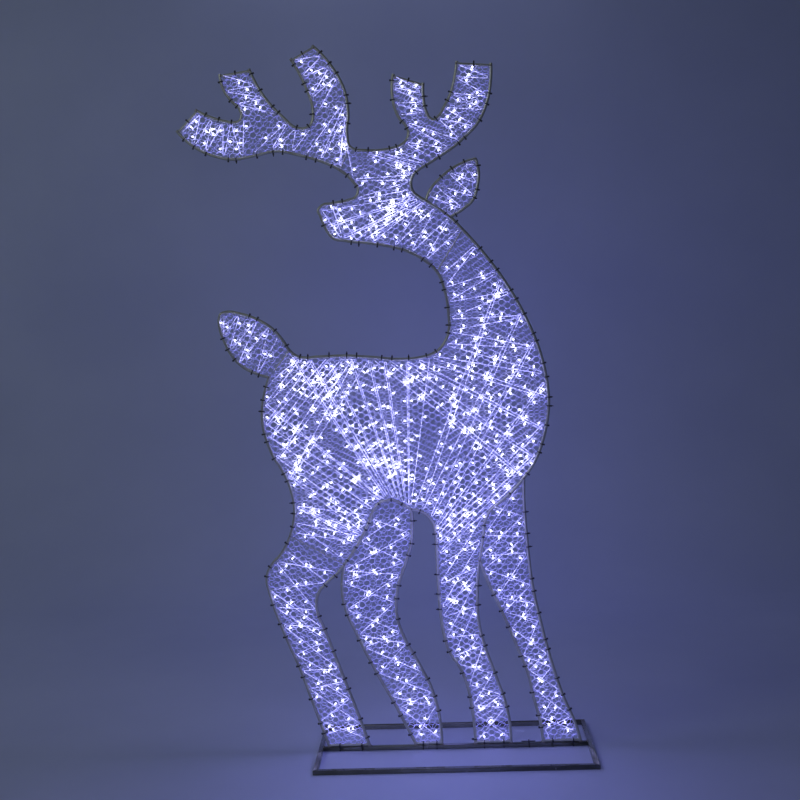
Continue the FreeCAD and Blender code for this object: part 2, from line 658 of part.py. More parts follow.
def tip_tie_places():
    """One tie at the middle of every antler tip bar."""
    lines = [line for found in tip_bar_lines().values() for line in found]
    ways = [unit(end - start) for start, end in lines]
    return [((line[0] + line[1]) * 0.5, way, rotated(way)) for line, way in zip(lines, ways)]


def make_ties(panels):
    """Ties along the outline and the tip bars, two at each foot, and one round the inlet."""
    tie, ties = rod_tie(), []
    for spot, way, heading in rod_tie_places(panels) + tip_tie_places():
        copy = tie.copy()
        copy.Placement = Placement(spot, Rotation(way, Vector(0, 0, 0), heading, "XZY"))
        ties.append(copy)
    strap = foot_tie()
    for name, start, end in FEET:
        left, right = corner(*start), corner(*end)
        for spot in (left + (right - left) * 0.25, left + (right - left) * 0.8):
            copy = strap.copy()
            copy.Placement = Placement(Vector(spot.x, 0, 0), Rotation())
            ties.append(copy)
    ties.append(socket_tie())
    return Part.makeCompound(ties)


def socket_tie():
    """The strap that holds the inlet against the centre tube, clear of the floor."""
    front, rear = -CENTRE_TUBE / 2, SOCKET_Y + SOCKET_RADIUS
    low = SOCKET_Z - SOCKET_RADIUS
    outer = Part.makeBox(TIE_WIDTH, rear - front + 2 * TIE_BAND, CENTRE_TOP - low + 2 * TIE_BAND,
                         placed(SOCKET_X, low - TIE_BAND, front - TIE_BAND))
    bore = Part.makeBox(TIE_WIDTH, rear - front, CENTRE_TOP - low, placed(SOCKET_X, low, front))
    return outer.cut(bore)


def make_socket():
    """The low-voltage inlet, its mouth towards -X, and the two pins inside the mouth."""
    start = placed(SOCKET_X - SOCKET_LENGTH / 2, SOCKET_Z, SOCKET_Y)
    along = Vector(SOCKET_LENGTH, 0, 0)
    body = straight_rod(start, start + along, SOCKET_RADIUS)
    mouth = straight_rod(start, start + along * 0.4, SOCKET_RADIUS - 1.2)
    gland = straight_rod(start + along * 0.8, start + along, WIRE / 2)
    pins = []
    for side in (-1, 1):
        root = start + Vector(0, 1.6 * side, 0)
        pins.append(straight_rod(root + along * 0.1, root + along * 0.4, 0.6))
    return body.cut(mouth).cut(gland), Part.makeCompound(pins)


def lead_points(route_end):
    """The rear string's way on from the far fore leg's foot: behind the base and into the inlet."""
    low = Vector(route_end.x + ROD, SOCKET_Y, SOCKET_Z)
    high = low + Vector(0, 0, CENTRE_TOP + ROD)
    return [high, low, placed(SOCKET_X + SOCKET_LENGTH * 0.3, SOCKET_Z, SOCKET_Y)]


def main():
    parts = make_rods()
    add_tips(parts)
    add_stays(parts)
    add_feet(parts)
    parts.update(make_base())
    nets = {name: make_net(stretches) for name, stretches in NETS.items()}
    parts.update(nets)
    wires, parts["front_leds"] = make_strings(FRONT_STRINGS, -WIRE_PLANE)
    parts["front_string_wire"] = Part.makeCompound(wires)
    lead = lead_points(string_route(*REAR_STRINGS[-1])[-1])
    wires, parts["rear_leds"] = make_strings(REAR_STRINGS, WIRE_PLANE, lead)
    parts["rear_string_wire"] = Part.makeCompound(wires)
    parts["zip_ties"] = make_ties(nets.values())
    parts["inlet_socket"], parts["inlet_pins"] = make_socket()
    os.makedirs("parts", exist_ok=True)
    for name, shape in parts.items():
        shape.exportStep(os.path.join("parts", name + ".step"))
    box = Part.makeCompound(list(parts.values())).BoundBox
    print(len(parts), "nodes, box", [round(v, 1) for v in (box.XMin, box.XMax, box.YMin,
                                                           box.YMax, box.ZMin, box.ZMax)])
    for name in ("front_leds", "rear_leds", "zip_ties"):
        print(name, len(parts[name].Solids))


main()
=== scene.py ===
import math
import bmesh
import bpy
import numpy as np
from mathutils import Matrix, Vector, noise


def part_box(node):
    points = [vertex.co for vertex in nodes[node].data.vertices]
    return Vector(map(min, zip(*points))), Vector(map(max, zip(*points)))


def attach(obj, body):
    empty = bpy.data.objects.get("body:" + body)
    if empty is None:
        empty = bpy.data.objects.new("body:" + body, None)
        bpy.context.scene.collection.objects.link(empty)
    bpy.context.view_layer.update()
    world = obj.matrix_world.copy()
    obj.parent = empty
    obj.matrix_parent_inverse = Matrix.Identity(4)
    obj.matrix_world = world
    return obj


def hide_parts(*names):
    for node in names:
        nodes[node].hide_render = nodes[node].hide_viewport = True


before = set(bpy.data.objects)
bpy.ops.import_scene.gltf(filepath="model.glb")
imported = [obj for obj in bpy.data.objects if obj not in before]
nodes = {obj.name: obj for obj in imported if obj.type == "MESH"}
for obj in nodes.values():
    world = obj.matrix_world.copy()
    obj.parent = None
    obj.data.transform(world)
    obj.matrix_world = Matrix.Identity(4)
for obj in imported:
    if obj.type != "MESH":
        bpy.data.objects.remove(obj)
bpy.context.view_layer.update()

# ---------------------------------------------------------------- sizes, in metres
low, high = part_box("base_front_tube")
BASE_X = (low[0] + high[0]) / 2          # the base's middle, along X
BASE_Z = high[2]                         # its top
TUBE_EDGE = 0.0014                       # rounding of the square tubes' edges
NET_PITCH = 0.0139                       # netting: column to column, cell height, length of a twist
NET_CELL = 0.0160
NET_TWIST = 0.0056
NET_WIRE = 0.00045                       # wire radius
NET_LAYER = 0.0011                       # the front and rear layers lie this far from the middle plane
NET_REACH = 0.0042                       # the netting runs this far past its panel, to the rods
STRAND = 0.00044                         # an LED string is two twisted strands of this radius
STRAND_PITCH = 0.015
STRAND_STEP = 0.003
LONG_FACET = 0.006                       # facets longer than this belong to a string's straight runs
LED_RADIUS = 0.0022
LED_SIDES = 12
LIGHT_REACH = 0.045                      # how far an LED lights what is round it
LIGHT_CORE = 0.0042
LIGHT_PLACE = 0.7                        # how far along an LED its light sits, as a share of its length
TAIL_WIDTH = 0.0023                      # the zip ties' cut tails
TAIL_THICK = 0.0009
TAIL_LEAST, TAIL_SPREAD = 0.0022, 0.0022
TAIL_BEND = 0.0011
LEAST_HEAD = 0.004                       # a tie whose head stands out less than this has no tail
ROD_WELD_SIDE = 0.0022                   # beads sit this far in front of and behind a rod's middle
FOOT_WELD_SIDE = 0.0040

# Netting panels: how the rear layer lies against the front one, as a turn in degrees and a step in cells.
NETS = {"antler_left_net": (24, 0.50, 0.30), "body_net": (5, 0.06, 0.10), "ear_net": (31, 0.35, 0.45),
        "fore_leg_far_net": (27, 0.45, 0.25), "head_net": (9, 0.30, 0.42),
        "hind_leg_far_net": (33, 0.55, 0.35), "hind_leg_near_net": (-22, 0.40, 0.30),
        "tail_net": (17, 0.25, 0.20)}

# Emission strengths: of the LEDs, the holders' painted glow, and the LED light the netting and wires
# catch everywhere and near an LED, painted as emission.
LED_GLOW, HOLDER_GLOW = 7.0, 0.7
NET_GLOW, NET_GAIN = 0.58, 3.0
WIRE_GLOW, WIRE_GAIN = 1.0, 4.0

# Welds, in millimetres from the base's middle and the floor: x, z, bead radius.
WELDS = [
    (-386, 1043, 2.6), (-440, 976, 3.0), (-404, 567, 2.6), (-268, 489, 3.2), (-6, 1228, 2.6),
    (61, 1330, 2.6), (-240, 1489, 2.6), (-213, 1546, 2.6), (-91, 628, 3.2), (78, 490, 3.2),
    (196, 699, 3.2), (-27, 1404, 3.0), (31, 1362, 3.0), (99, 1503, 3.0), (-641, 1598, 2.8),
    (-592, 1649, 2.8), (-528, 1731, 2.8), (-455, 1741, 2.8), (-350, 1761, 2.8), (-293, 1791, 2.8),
    (-98, 1713, 2.8), (-25, 1688, 2.8), (59, 1737, 2.8), (144, 1729, 2.8),
]
FEET = [-325, -221, -100, -34, 53, 144, 227, 323]
# Rows of small beads, as places along each row, and their radii.
FOOT_ROW, FOOT_BEAD = (-0.0030, 0.0002, 0.0032), 0.0017
MITRE_ROW, MITRE_BEAD = (-0.0040, -0.0013, 0.0014, 0.0041), 0.0012
BAR_ROW, BAR_BEAD = (-0.0045, -0.0015, 0.0015, 0.0045), 0.0014

# Camera: lens and sensor in millimetres, place in metres, angles in degrees.
LENS_LENGTH, SENSOR = 54.0, 36.0
CAMERA_PLACE = (BASE_X + 0.0038, -3.027, 1.142)
CAMERA_DOWN, CAMERA_LEFT, CAMERA_ROLL = 4.42, 2.16, -2.06


# ---------------------------------------------------------------- materials
def new_material(name):
    material = bpy.data.materials.new(name)
    material.use_nodes = True
    tree = material.node_tree
    return material, tree, tree.nodes["Principled BSDF"]


def add(tree, kind, **values):
    node = tree.nodes.new(kind)
    for key, value in values.items():
        if key in node.inputs:
            node.inputs[key].default_value = value
        else:
            setattr(node, key, value)
    return node


def object_noise(tree, scale, detail=3.0, rough=0.55):
    place = add(tree, "ShaderNodeTexCoord")
    found = add(tree, "ShaderNodeTexNoise", Scale=scale, Detail=detail, Roughness=rough)
    tree.links.new(place.outputs["Object"], found.inputs["Vector"])
    return found


def ramp(tree, source, stops):
    found = add(tree, "ShaderNodeValToRGB")
    while len(found.color_ramp.elements) < len(stops):
        found.color_ramp.elements.new(0.5)
    for element, (place, colour) in zip(found.color_ramp.elements, stops):
        element.position = place
        element.color = (*colour, 1.0)
    tree.links.new(source, found.inputs["Fac"])
    return found


def spread(tree, source, low_value, high_value, first=0.0, last=1.0):
    found = add(tree, "ShaderNodeMapRange")
    found.inputs["From Min"].default_value = first
    found.inputs["From Max"].default_value = last
    found.inputs["To Min"].default_value = low_value
    found.inputs["To Max"].default_value = high_value
    tree.links.new(source, found.inputs["Value"])
    return found.outputs["Result"]


def bumped(tree, shader, source, strength, distance):
    bump = add(tree, "ShaderNodeBump", Strength=strength, Distance=distance)
    tree.links.new(source, bump.inputs["Height"])
    tree.links.new(bump.outputs["Normal"], shader.inputs["Normal"])


def steel_paint(name, painted_shade, metal):
    """Silver-grey paint over drawn steel: cloudy tone, fine orange peel, a few scuffs; its shade factor
    scales the whole tone down, painting shade onto a darker copy.
    """
    material, tree, shader = new_material(name)
    cloud = object_noise(tree, 22.0, 4.0)
    tones = [(0.30, (0.46, 0.47, 0.39)), (0.52, (0.60, 0.61, 0.52)), (0.74, (0.70, 0.71, 0.62))]
    tone = ramp(tree, cloud.outputs["Fac"],
                [(place, [painted_shade * share for share in colour]) for place, colour in tones])
    scuff = object_noise(tree, 310.0, 5.0, 0.7)
    mask = ramp(tree, scuff.outputs["Fac"], [(0.66, (0, 0, 0)), (0.76, (1, 1, 1))])
    mix = add(tree, "ShaderNodeMix", data_type="RGBA")
    tree.links.new(mask.outputs["Color"], mix.inputs[0])
    tree.links.new(tone.outputs["Color"], mix.inputs[6])
    mix.inputs[7].default_value = (0.16, 0.155, 0.13, 1)
    tree.links.new(mix.outputs[2], shader.inputs["Base Color"])
    tree.links.new(spread(tree, cloud.outputs["Fac"], 0.14, 0.34), shader.inputs["Roughness"])
    shader.inputs["Metallic"].default_value = metal
    shader.inputs["Coat Weight"].default_value = 0.8
    shader.inputs["Coat Roughness"].default_value = 0.06
    peel = object_noise(tree, 900.0, 2.0)
    bumped(tree, shader, peel.outputs["Fac"], 0.06, 0.0002)
    return material


def paler_stay_wire():
    """Wire of the stays: a paler, shinier copy of the frame's steel, lightened as painted highlight for
    the light the thin stays catch; faint cloudy tone.
    """
    material, tree, shader = new_material("stay_wire_painted_highlight")
    cloud = object_noise(tree, 150.0, 3.0)
    tone = ramp(tree, cloud.outputs["Fac"], [(0.32, (0.52, 0.52, 0.48)), (0.68, (0.80, 0.79, 0.74))])
    tree.links.new(tone.outputs["Color"], shader.inputs["Base Color"])
    tree.links.new(spread(tree, cloud.outputs["Fac"], 0.2, 0.4), shader.inputs["Roughness"])
    shader.inputs["Metallic"].default_value = 0.4
    return material


def weld_metal():
    """Painted-over weld: browner, rougher and lumpy."""
    material, tree, shader = new_material("weld_bead")
    spots = object_noise(tree, 420.0, 4.0, 0.65)
    tone = ramp(tree, spots.outputs["Fac"], [(0.35, (0.16, 0.12, 0.09)), (0.55, (0.36, 0.33, 0.29)),
                                             (0.75, (0.50, 0.49, 0.46))])
    tree.links.new(tone.outputs["Color"], shader.inputs["Base Color"])
    tree.links.new(spread(tree, spots.outputs["Fac"], 0.35, 0.7), shader.inputs["Roughness"])
    shader.inputs["Metallic"].default_value = 0.6
    bumped(tree, shader, spots.outputs["Fac"], 0.5, 0.0006)
    return material


def lit_by_leds(tree, shader, glow, gain, glint_scale, far_tint):
    """Emission that stands for LED light caught by a wire: glow everywhere, gain near an LED, broken up
    by noise into painted glints.
    """
    light = add(tree, "ShaderNodeAttribute", attribute_name="lit").outputs["Fac"]
    grain = object_noise(tree, glint_scale, 2.0, 0.6)
    near = add(tree, "ShaderNodeMath", operation="MULTIPLY_ADD")
    tree.links.new(light, near.inputs[0])
    near.inputs[1].default_value = gain
    near.inputs[2].default_value = glow
    # Painted glints: noise flecks the emission strength from 0.15 to 2.4 times along the wire.
    glint_emission = add(tree, "ShaderNodeMath", operation="MULTIPLY")
    tree.links.new(near.outputs[0], glint_emission.inputs[0])
    tree.links.new(spread(tree, grain.outputs["Fac"], 0.15, 2.4, 0.36, 0.70), glint_emission.inputs[1])
    tree.links.new(glint_emission.outputs[0], shader.inputs["Emission Strength"])
    tint = ramp(tree, light, [(0.0, far_tint), (0.25, (0.38, 0.37, 1.0)), (0.7, (0.70, 0.70, 1.0))])
    tree.links.new(tint.outputs["Color"], shader.inputs["Emission Color"])


def net_coat():
    """White plastic coat on twisted wire, catching the light of the LEDs around it."""
    material, tree, shader = new_material("netting_coat")
    cloud = object_noise(tree, 60.0, 3.0)
    tone = ramp(tree, cloud.outputs["Fac"], [(0.32, (0.60, 0.62, 0.78)), (0.70, (0.82, 0.84, 0.93))])
    tree.links.new(tone.outputs["Color"], shader.inputs["Base Color"])
    lit_by_leds(tree, shader, NET_GLOW, NET_GAIN, 260.0, (0.21, 0.20, 1.0))
    fine = object_noise(tree, 1500.0, 2.0)
    tree.links.new(spread(tree, fine.outputs["Fac"], 0.30, 0.5), shader.inputs["Roughness"])
    bumped(tree, shader, fine.outputs["Fac"], 0.2, 0.0002)
    return material


def clear_sheath():
    """Clear soft sheath over the string's two strands."""
    material, tree, shader = new_material("clear_sheath")
    cloud = object_noise(tree, 180.0, 2.0)
    tone = ramp(tree, cloud.outputs["Fac"], [(0.3, (0.66, 0.70, 0.84)), (0.7, (0.93, 0.95, 1.0))])
    tree.links.new(tone.outputs["Color"], shader.inputs["Base Color"])
    shader.inputs["Roughness"].default_value = 0.16
    shader.inputs["Coat Weight"].default_value = 0.6
    lit_by_leds(tree, shader, WIRE_GLOW, WIRE_GAIN, 140.0, (0.44, 0.43, 1.0))
    bumped(tree, shader, cloud.outputs["Fac"], 0.15, 0.0002)
    return material


def led_light():
    """The lit lens: near white at the chip, bluer where the light is spread."""
    material, tree, shader = new_material("led_lens_lit")
    cloud = object_noise(tree, 35.0, 1.0)
    tone = ramp(tree, cloud.outputs["Fac"], [(0.35, (0.46, 0.46, 1.0)), (0.65, (0.58, 0.58, 1.0))])
    tree.links.new(tone.outputs["Color"], shader.inputs["Emission Color"])
    tree.links.new(spread(tree, cloud.outputs["Fac"], LED_GLOW * 0.75, LED_GLOW * 1.25),
                   shader.inputs["Emission Strength"])
    shader.inputs["Base Color"].default_value = (0.9, 0.92, 1.0, 1)
    shader.inputs["Roughness"].default_value = 0.08
    return material


def led_holder():
    """The clear moulded holder at each LED's foot."""
    material, tree, shader = new_material("led_holder")
    cloud = object_noise(tree, 500.0, 2.0)
    tone = ramp(tree, cloud.outputs["Fac"], [(0.35, (0.70, 0.73, 0.88)), (0.7, (0.90, 0.92, 1.0))])
    tree.links.new(tone.outputs["Color"], shader.inputs["Base Color"])
    shader.inputs["Roughness"].default_value = 0.22
    shader.inputs["Subsurface Weight"].default_value = 0.3
    shader.inputs["Subsurface Radius"].default_value = (0.002, 0.002, 0.003)
    # Painted light: the holder glows faintly, standing for its LED's light spread through the clear
    # plastic.
    shader.inputs["Emission Color"].default_value = (0.55, 0.60, 1.0, 1)
    shader.inputs["Emission Strength"].default_value = HOLDER_GLOW
    bumped(tree, shader, cloud.outputs["Fac"], 0.1, 0.0002)
    return material


def black_nylon(name, gloss):
    material, tree, shader = new_material(name)
    grain = object_noise(tree, 1200.0, 3.0)
    tone = ramp(tree, grain.outputs["Fac"], [(0.3, (0.010, 0.010, 0.012)), (0.75, (0.045, 0.045, 0.05))])
    tree.links.new(tone.outputs["Color"], shader.inputs["Base Color"])
    tree.links.new(spread(tree, grain.outputs["Fac"], gloss, gloss + 0.25), shader.inputs["Roughness"])
    bumped(tree, shader, grain.outputs["Fac"], 0.3, 0.0002)
    return material


def pin_metal():
    material, tree, shader = new_material("brass_pins")
    grain = object_noise(tree, 900.0, 2.0)
    tone = ramp(tree, grain.outputs["Fac"], [(0.3, (0.55, 0.40, 0.16)), (0.7, (0.82, 0.64, 0.32))])
    tree.links.new(tone.outputs["Color"], shader.inputs["Base Color"])
    shader.inputs["Metallic"].default_value = 1.0
    shader.inputs["Roughness"].default_value = 0.3
    return material


def floor_material():
    material, tree, shader = new_material("pale_floor")
    cloud = object_noise(tree, 1.4, 4.0)
    tone = ramp(tree, cloud.outputs["Fac"], [(0.3, (0.56, 0.60, 0.78)), (0.7, (0.63, 0.67, 0.84))])
    tree.links.new(tone.outputs["Color"], shader.inputs["Base Color"])
    shader.inputs["Roughness"].default_value = 0.62
    return material


# The base's tubes get a copy of the same paint darkened to 0.42: painted shade, not a different paint.
PAINT, SHADED_BASE_PAINT = steel_paint("silver_grey_paint", 1.0, 0.25), steel_paint("base_paint", 0.42, 0.6)
WELD, NET_COAT, SHEATH = weld_metal(), net_coat(), clear_sheath()
LENS, HOLDER = led_light(), led_holder()
# The stays' paler material is a painted highlight on the frame's own steel.
STAY_WIRE = paler_stay_wire()
NYLON, SOCKET, PINS = black_nylon("tie_nylon", 0.3), black_nylon("socket_plastic", 0.35), pin_metal()


# ---------------------------------------------------------------- mesh helpers
def add_piece(name, points, faces, materials, replaced=()):
    """A new piece of the figure, riding on its one body."""
    mesh = bpy.data.meshes.new(name)
    mesh.from_pydata([tuple(map(float, point)) for point in points], [], faces)
    for material in materials:
        mesh.materials.append(material)
    mesh.update()
    mesh.shade_smooth()
    piece = bpy.data.objects.new(name, mesh)
    bpy.context.collection.objects.link(piece)
    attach(piece, "root")
    if replaced:
        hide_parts(*replaced)
    return piece


def node_mesh(node):
    """A CAD node's points and triangles in the row frame."""
    mesh = nodes[node].data
    mesh.calc_loop_triangles()
    points = np.empty(len(mesh.vertices) * 3)
    mesh.vertices.foreach_get("co", points)
    triangles = np.empty(len(mesh.loop_triangles) * 3, int)
    mesh.loop_triangles.foreach_get("vertices", triangles)
    place = np.array(nodes[node].matrix_world)
    points = points.reshape(-1, 3) @ place[:3, :3].T + place[:3, 3]
    points, welded = np.unique(np.round(points, 7), axis=0, return_inverse=True)
    return points, welded.reshape(-1)[triangles].reshape(-1, 3)


def tube(points, radius, verts, quads):
    """Adds a closed four-sided tube along points to the lists of vertices and faces."""
    base, sides = sum(map(len, verts)), 4
    ways = np.gradient(points, axis=0)
    ways /= np.linalg.norm(ways, axis=1)[:, None]
    across = np.cross(ways, [0.0, 1.0, 0.0])
    across /= np.linalg.norm(across, axis=1)[:, None]
    out = np.cross(across, ways)
    angles = [2 * math.pi * (k + 0.5) / sides for k in range(sides)]
    rings = [points + radius * (math.cos(a) * across + math.sin(a) * out) for a in angles]
    verts.append(np.stack(rings, axis=1).reshape(-1, 3))
    for i in range(len(points) - 1):
        here = base + i * sides
        for k in range(sides):
            after = (k + 1) % sides
            quads.append((here + k, here + after, here + sides + after, here + sides + k))
    last = base + (len(points) - 1) * sides
    quads.append(tuple(base + k for k in reversed(range(sides))))
    quads.append(tuple(last + k for k in range(sides)))


def groups(triangles):
    """Sets of connected triangles: the group number of each of their vertices."""
    parent = {}

    def root(i):
        while parent[i] != i:
            parent[i] = parent[parent[i]]
            i = parent[i]
        return i

    for a, b, c in triangles.tolist():
        for i in (a, b, c):
            parent.setdefault(i, i)
        parent[root(b)] = root(a)
        parent[root(c)] = root(a)
    return {i: root(i) for i in parent}


def members(group_of):
    found = {}
    for i, group in group_of.items():
        found.setdefault(group, []).append(i)
    return list(found.values())


def set_light(piece, points):
    """Stores the LED light that reaches each vertex: it falls off with the square of distance."""
    points = np.asarray(points)
    order = np.argsort(points[:, 2])
    heights = points[order, 2]
    total = np.zeros(len(points))
    least = LIGHT_CORE ** 2 / (LIGHT_CORE ** 2 + LIGHT_REACH ** 2)
    for lamp in LAMPS:
        first, last = np.searchsorted(heights, [lamp[2] - LIGHT_REACH, lamp[2] + LIGHT_REACH])
        near = order[first:last]
        gap = np.sum((points[near] - lamp) ** 2, axis=1)
        total[near] += np.maximum(LIGHT_CORE ** 2 / (LIGHT_CORE ** 2 + gap) - least, 0)
    lit = piece.data.attributes.new("lit", "FLOAT", "POINT")
    lit.data.foreach_set("value", total.astype(np.float32))


# ---------------------------------------------------------------- netting
def panel_edges(node):
    """The outline of a netting panel's front face, as pairs of points in XZ."""
    points, triangles = node_mesh(node)
    a, b, c = (points[triangles[:, k]] for k in range(3))
    normals = np.cross(b - a, c - a)
    front = triangles[normals[:, 1] < -0.9 * np.linalg.norm(normals, axis=1)]
    seen = {}
    for triangle in front:
        for k in range(3):
            pair = (int(triangle[k]), int(triangle[(k + 1) % 3]))
            key = tuple(sorted(pair))
            seen[key] = seen.get(key, 0) + 1
    outline = np.array([key for key, count in seen.items() if count == 1])
    flat = points[:, [0, 2]]
    return flat[outline[:, 0]], flat[outline[:, 1]]


def within(spots, starts, ends):
    """True for each spot inside the outline or nearer to it than the netting's reach."""
    x, z = spots[:, 0][:, None], spots[:, 1][:, None]
    crosses = (starts[:, 1] > z) != (ends[:, 1] > z)
    rise = np.where(ends[:, 1] == starts[:, 1], 1e-12, ends[:, 1] - starts[:, 1])
    left = x < starts[:, 0] + (z - starts[:, 1]) * (ends[:, 0] - starts[:, 0]) / rise
    inside = (np.sum(crosses & left, axis=1) % 2) == 1
    way = ends - starts
    to_spot = spots[:, None, :] - starts[None]
    along = np.clip(np.sum(to_spot * way, axis=2) / np.sum(way * way, axis=1), 0, 1)
    gap = np.linalg.norm(to_spot - along[..., None] * way, axis=2).min(axis=1)
    return inside | (gap < NET_REACH)


def strand(row, lean, low_x, high_x):
    """One wire of the netting: twists with its neighbour, slants, and twists with the next one."""
    first, last = math.floor(low_x / NET_PITCH) - 1, math.ceil(high_x / NET_PITCH) + 1
    twist_steps, slant_steps = 4, 3
    points = []
    for column in range(first, last):
        x = column * NET_PITCH
        z = (row + (0.5 * lean if column % 2 else 0.0)) * NET_CELL
        following = (row + (0.0 if column % 2 else 0.5 * lean)) * NET_CELL
        phase = 0.0 if lean > 0 else math.pi
        for k in range(twist_steps):
            share = k / twist_steps
            angle = phase + 3 * math.pi * share
            points.append((x + NET_TWIST * (share - 0.5), NET_WIRE * math.sin(angle),
                           z + NET_WIRE * math.cos(angle)))
        for k in range(slant_steps):
            share = k / slant_steps
            ease = share * share * (3 - 2 * share)
            points.append((x + NET_TWIST / 2 + (NET_PITCH - NET_TWIST) * share,
                           0.0, z + (following - z) * ease))
    return np.array(points)


def warp(points, seed):
    """Uneven pull: shifts a point by a few millimetres, smoothly from place to place."""
    x, z = points[:, 0] * 31, points[:, 2] * 31
    bent = points.copy()
    bent[:, 0] += 0.0013 * (np.sin(0.37 * z + seed) + np.sin(0.29 * x + 0.43 * z + 2 * seed))
    bent[:, 2] += 0.0013 * (np.sin(0.41 * x + 3 * seed) + np.sin(0.31 * x - 0.27 * z + seed))
    bent[:, 0] += 0.0007 * np.sin(7.3 * z + 5.1 * x + seed)
    bent[:, 2] += 0.0007 * np.sin(6.7 * x - 4.3 * z + seed)
    return bent


def make_layer(node, side, turn, step, seed):
    """One layer of a panel's netting: the front one for side -1, the rear one for side 1."""
    starts, ends = panel_edges(node)
    low_corner, high_corner = starts.min(axis=0), starts.max(axis=0)
    middle = (low_corner + high_corner) / 2
    reach = np.linalg.norm(high_corner - low_corner) / 2 + 2 * NET_CELL
    cosine, sine = math.cos(math.radians(turn)), math.sin(math.radians(turn))
    place = np.array([middle[0] + step[0] * NET_PITCH, side * NET_LAYER, middle[1] + step[1] * NET_CELL])
    turned = np.array([[cosine, 0, sine], [0, 1, 0], [-sine, 0, cosine]])
    verts, quads = [], []
    for row in range(-math.ceil(reach / NET_CELL), math.ceil(reach / NET_CELL) + 1):
        for lean in (1, -1):
            points = warp(strand(row, lean, -reach, reach) @ turned + place, seed)
            kept = within(points[:, [0, 2]], starts, ends)
            begin = None
            for i, good in enumerate(list(kept) + [False]):
                if good and begin is None:
                    begin = i
                if not good and begin is not None:
                    if i - begin > 2:
                        tube(points[begin:i], NET_WIRE, verts, quads)
                    begin = None
    points = np.concatenate(verts)
    name = "netting_" + node[:-4] + ("_rear" if side > 0 else "_front")
    net = add_piece(name, points, quads, [NET_COAT], [node])
    set_light(net, points)


# ---------------------------------------------------------------- LEDs
def led_axes(node):
    """Foot, direction and length of each LED of a CAD node: its nose is narrower than its foot."""
    points, triangles = node_mesh(node)
    axes = []
    for island in members(groups(triangles)):
        spots = points[island]
        middle = spots.mean(axis=0)
        way = np.linalg.eigh(np.cov((spots - middle).T))[1][:, 2]
        along = (spots - middle) @ way
        axis = middle + np.outer(along, way)
        reach = np.linalg.norm(spots - axis, axis=1)
        end = 0.04 * (along.max() - along.min())
        if reach[along > along.max() - end].mean() > reach[along < along.min() + end].mean():
            way, along = -way, -along
        axes.append((middle + way * along.min(), way, along.max() - along.min()))
    return axes


# Radius and height of an LED's outline, as shares of its own radius and length; lens after the gap.
HOLDER_SHAPE = [(0.0, 0.0), (0.72, 0.0), (0.95, 0.05), (1.0, 0.14), (0.86, 0.20), (0.98, 0.27),
                (1.0, 0.34), (0.80, 0.40)]
LENS_SHAPE = [(0.76, 0.38), (0.80, 0.52), (0.80, 0.70), (0.74, 0.80), (0.60, 0.89), (0.38, 0.96),
              (0.0, 1.0)]


def lathe(foot, way, length, radius, shape, base, verts, faces):
    """Adds a turned form to the lists; returns the next free vertex number."""
    across = Vector(way).orthogonal().normalized()
    other = Vector(way).cross(across)
    start = base
    for share, height in shape:
        centre = Vector(foot) + Vector(way) * (length * height)
        if share == 0.0:
            verts.append(centre)
            base += 1
            continue
        for k in range(LED_SIDES):
            angle = 2 * math.pi * k / LED_SIDES
            verts.append(centre + (across * math.cos(angle) + other * math.sin(angle)) * radius * share)
        base += LED_SIDES
    index = start
    for (share, height), (following, top) in zip(shape, shape[1:]):
        for k in range(LED_SIDES):
            after = (k + 1) % LED_SIDES
            if share == 0.0:
                faces.append((index, index + 1 + after, index + 1 + k))
            elif following == 0.0:
                faces.append((index + k, index + after, index + LED_SIDES))
            else:
                faces.append((index + k, index + after, index + LED_SIDES + after,
                              index + LED_SIDES + k))
        index += 1 if share == 0.0 else LED_SIDES
    return base


def make_leds(node, axes):
    verts, faces, kinds, base = [], [], [], 0
    for foot, way, length in axes:
        for number, shape in enumerate((HOLDER_SHAPE, LENS_SHAPE)):
            before = len(faces)
            base = lathe(foot, way, length, LED_RADIUS, shape, base, verts, faces)
            kinds += [number] * (len(faces) - before)
    leds = add_piece(node + "_lamps", verts, faces, [HOLDER, LENS], [node])
    leds.data.polygons.foreach_set("material_index", kinds)


# ---------------------------------------------------------------- LED strings
def straight_runs(points, triangles):
    """The two ends of each straight run of a string, and the turn that each end leads into."""
    corners = points[triangles]
    longest = np.linalg.norm(corners - np.roll(corners, 1, axis=1), axis=2).max(axis=1)
    turn_of = groups(triangles[longest <= LONG_FACET])
    runs = []
    for run in members(groups(triangles[longest > LONG_FACET])):
        run = np.array(run)
        spots = points[run]
        way = np.linalg.eigh(np.cov((spots - spots.mean(axis=0)).T))[1][:, 2]
        along = spots @ way
        halves = along < along.mean(), along >= along.mean()
        runs.append([(spots[half].mean(axis=0), turn_of[run[half][0]]) for half in halves])
    return runs


def string_paths(node):
    """Each string's runs in travel order, as a list of start and end points."""
    runs = straight_runs(*node_mesh(node))
    ends = {}
    for number, run in enumerate(runs):
        for side in (0, 1):
            ends.setdefault(run[side][1], []).append((number, side))
    paths, used = [], set()
    for turn, found in ends.items():
        number, side = found[0]
        if len(found) != 1 or number in used:
            continue
        path = []
        while True:
            used.add(number)
            path.append((runs[number][side][0], runs[number][1 - side][0]))
            onward = [end for end in ends[runs[number][1 - side][1]] if end[0] != number]
            if not onward:
                break
            number, side = onward[0]
        paths.append(path)
    return paths


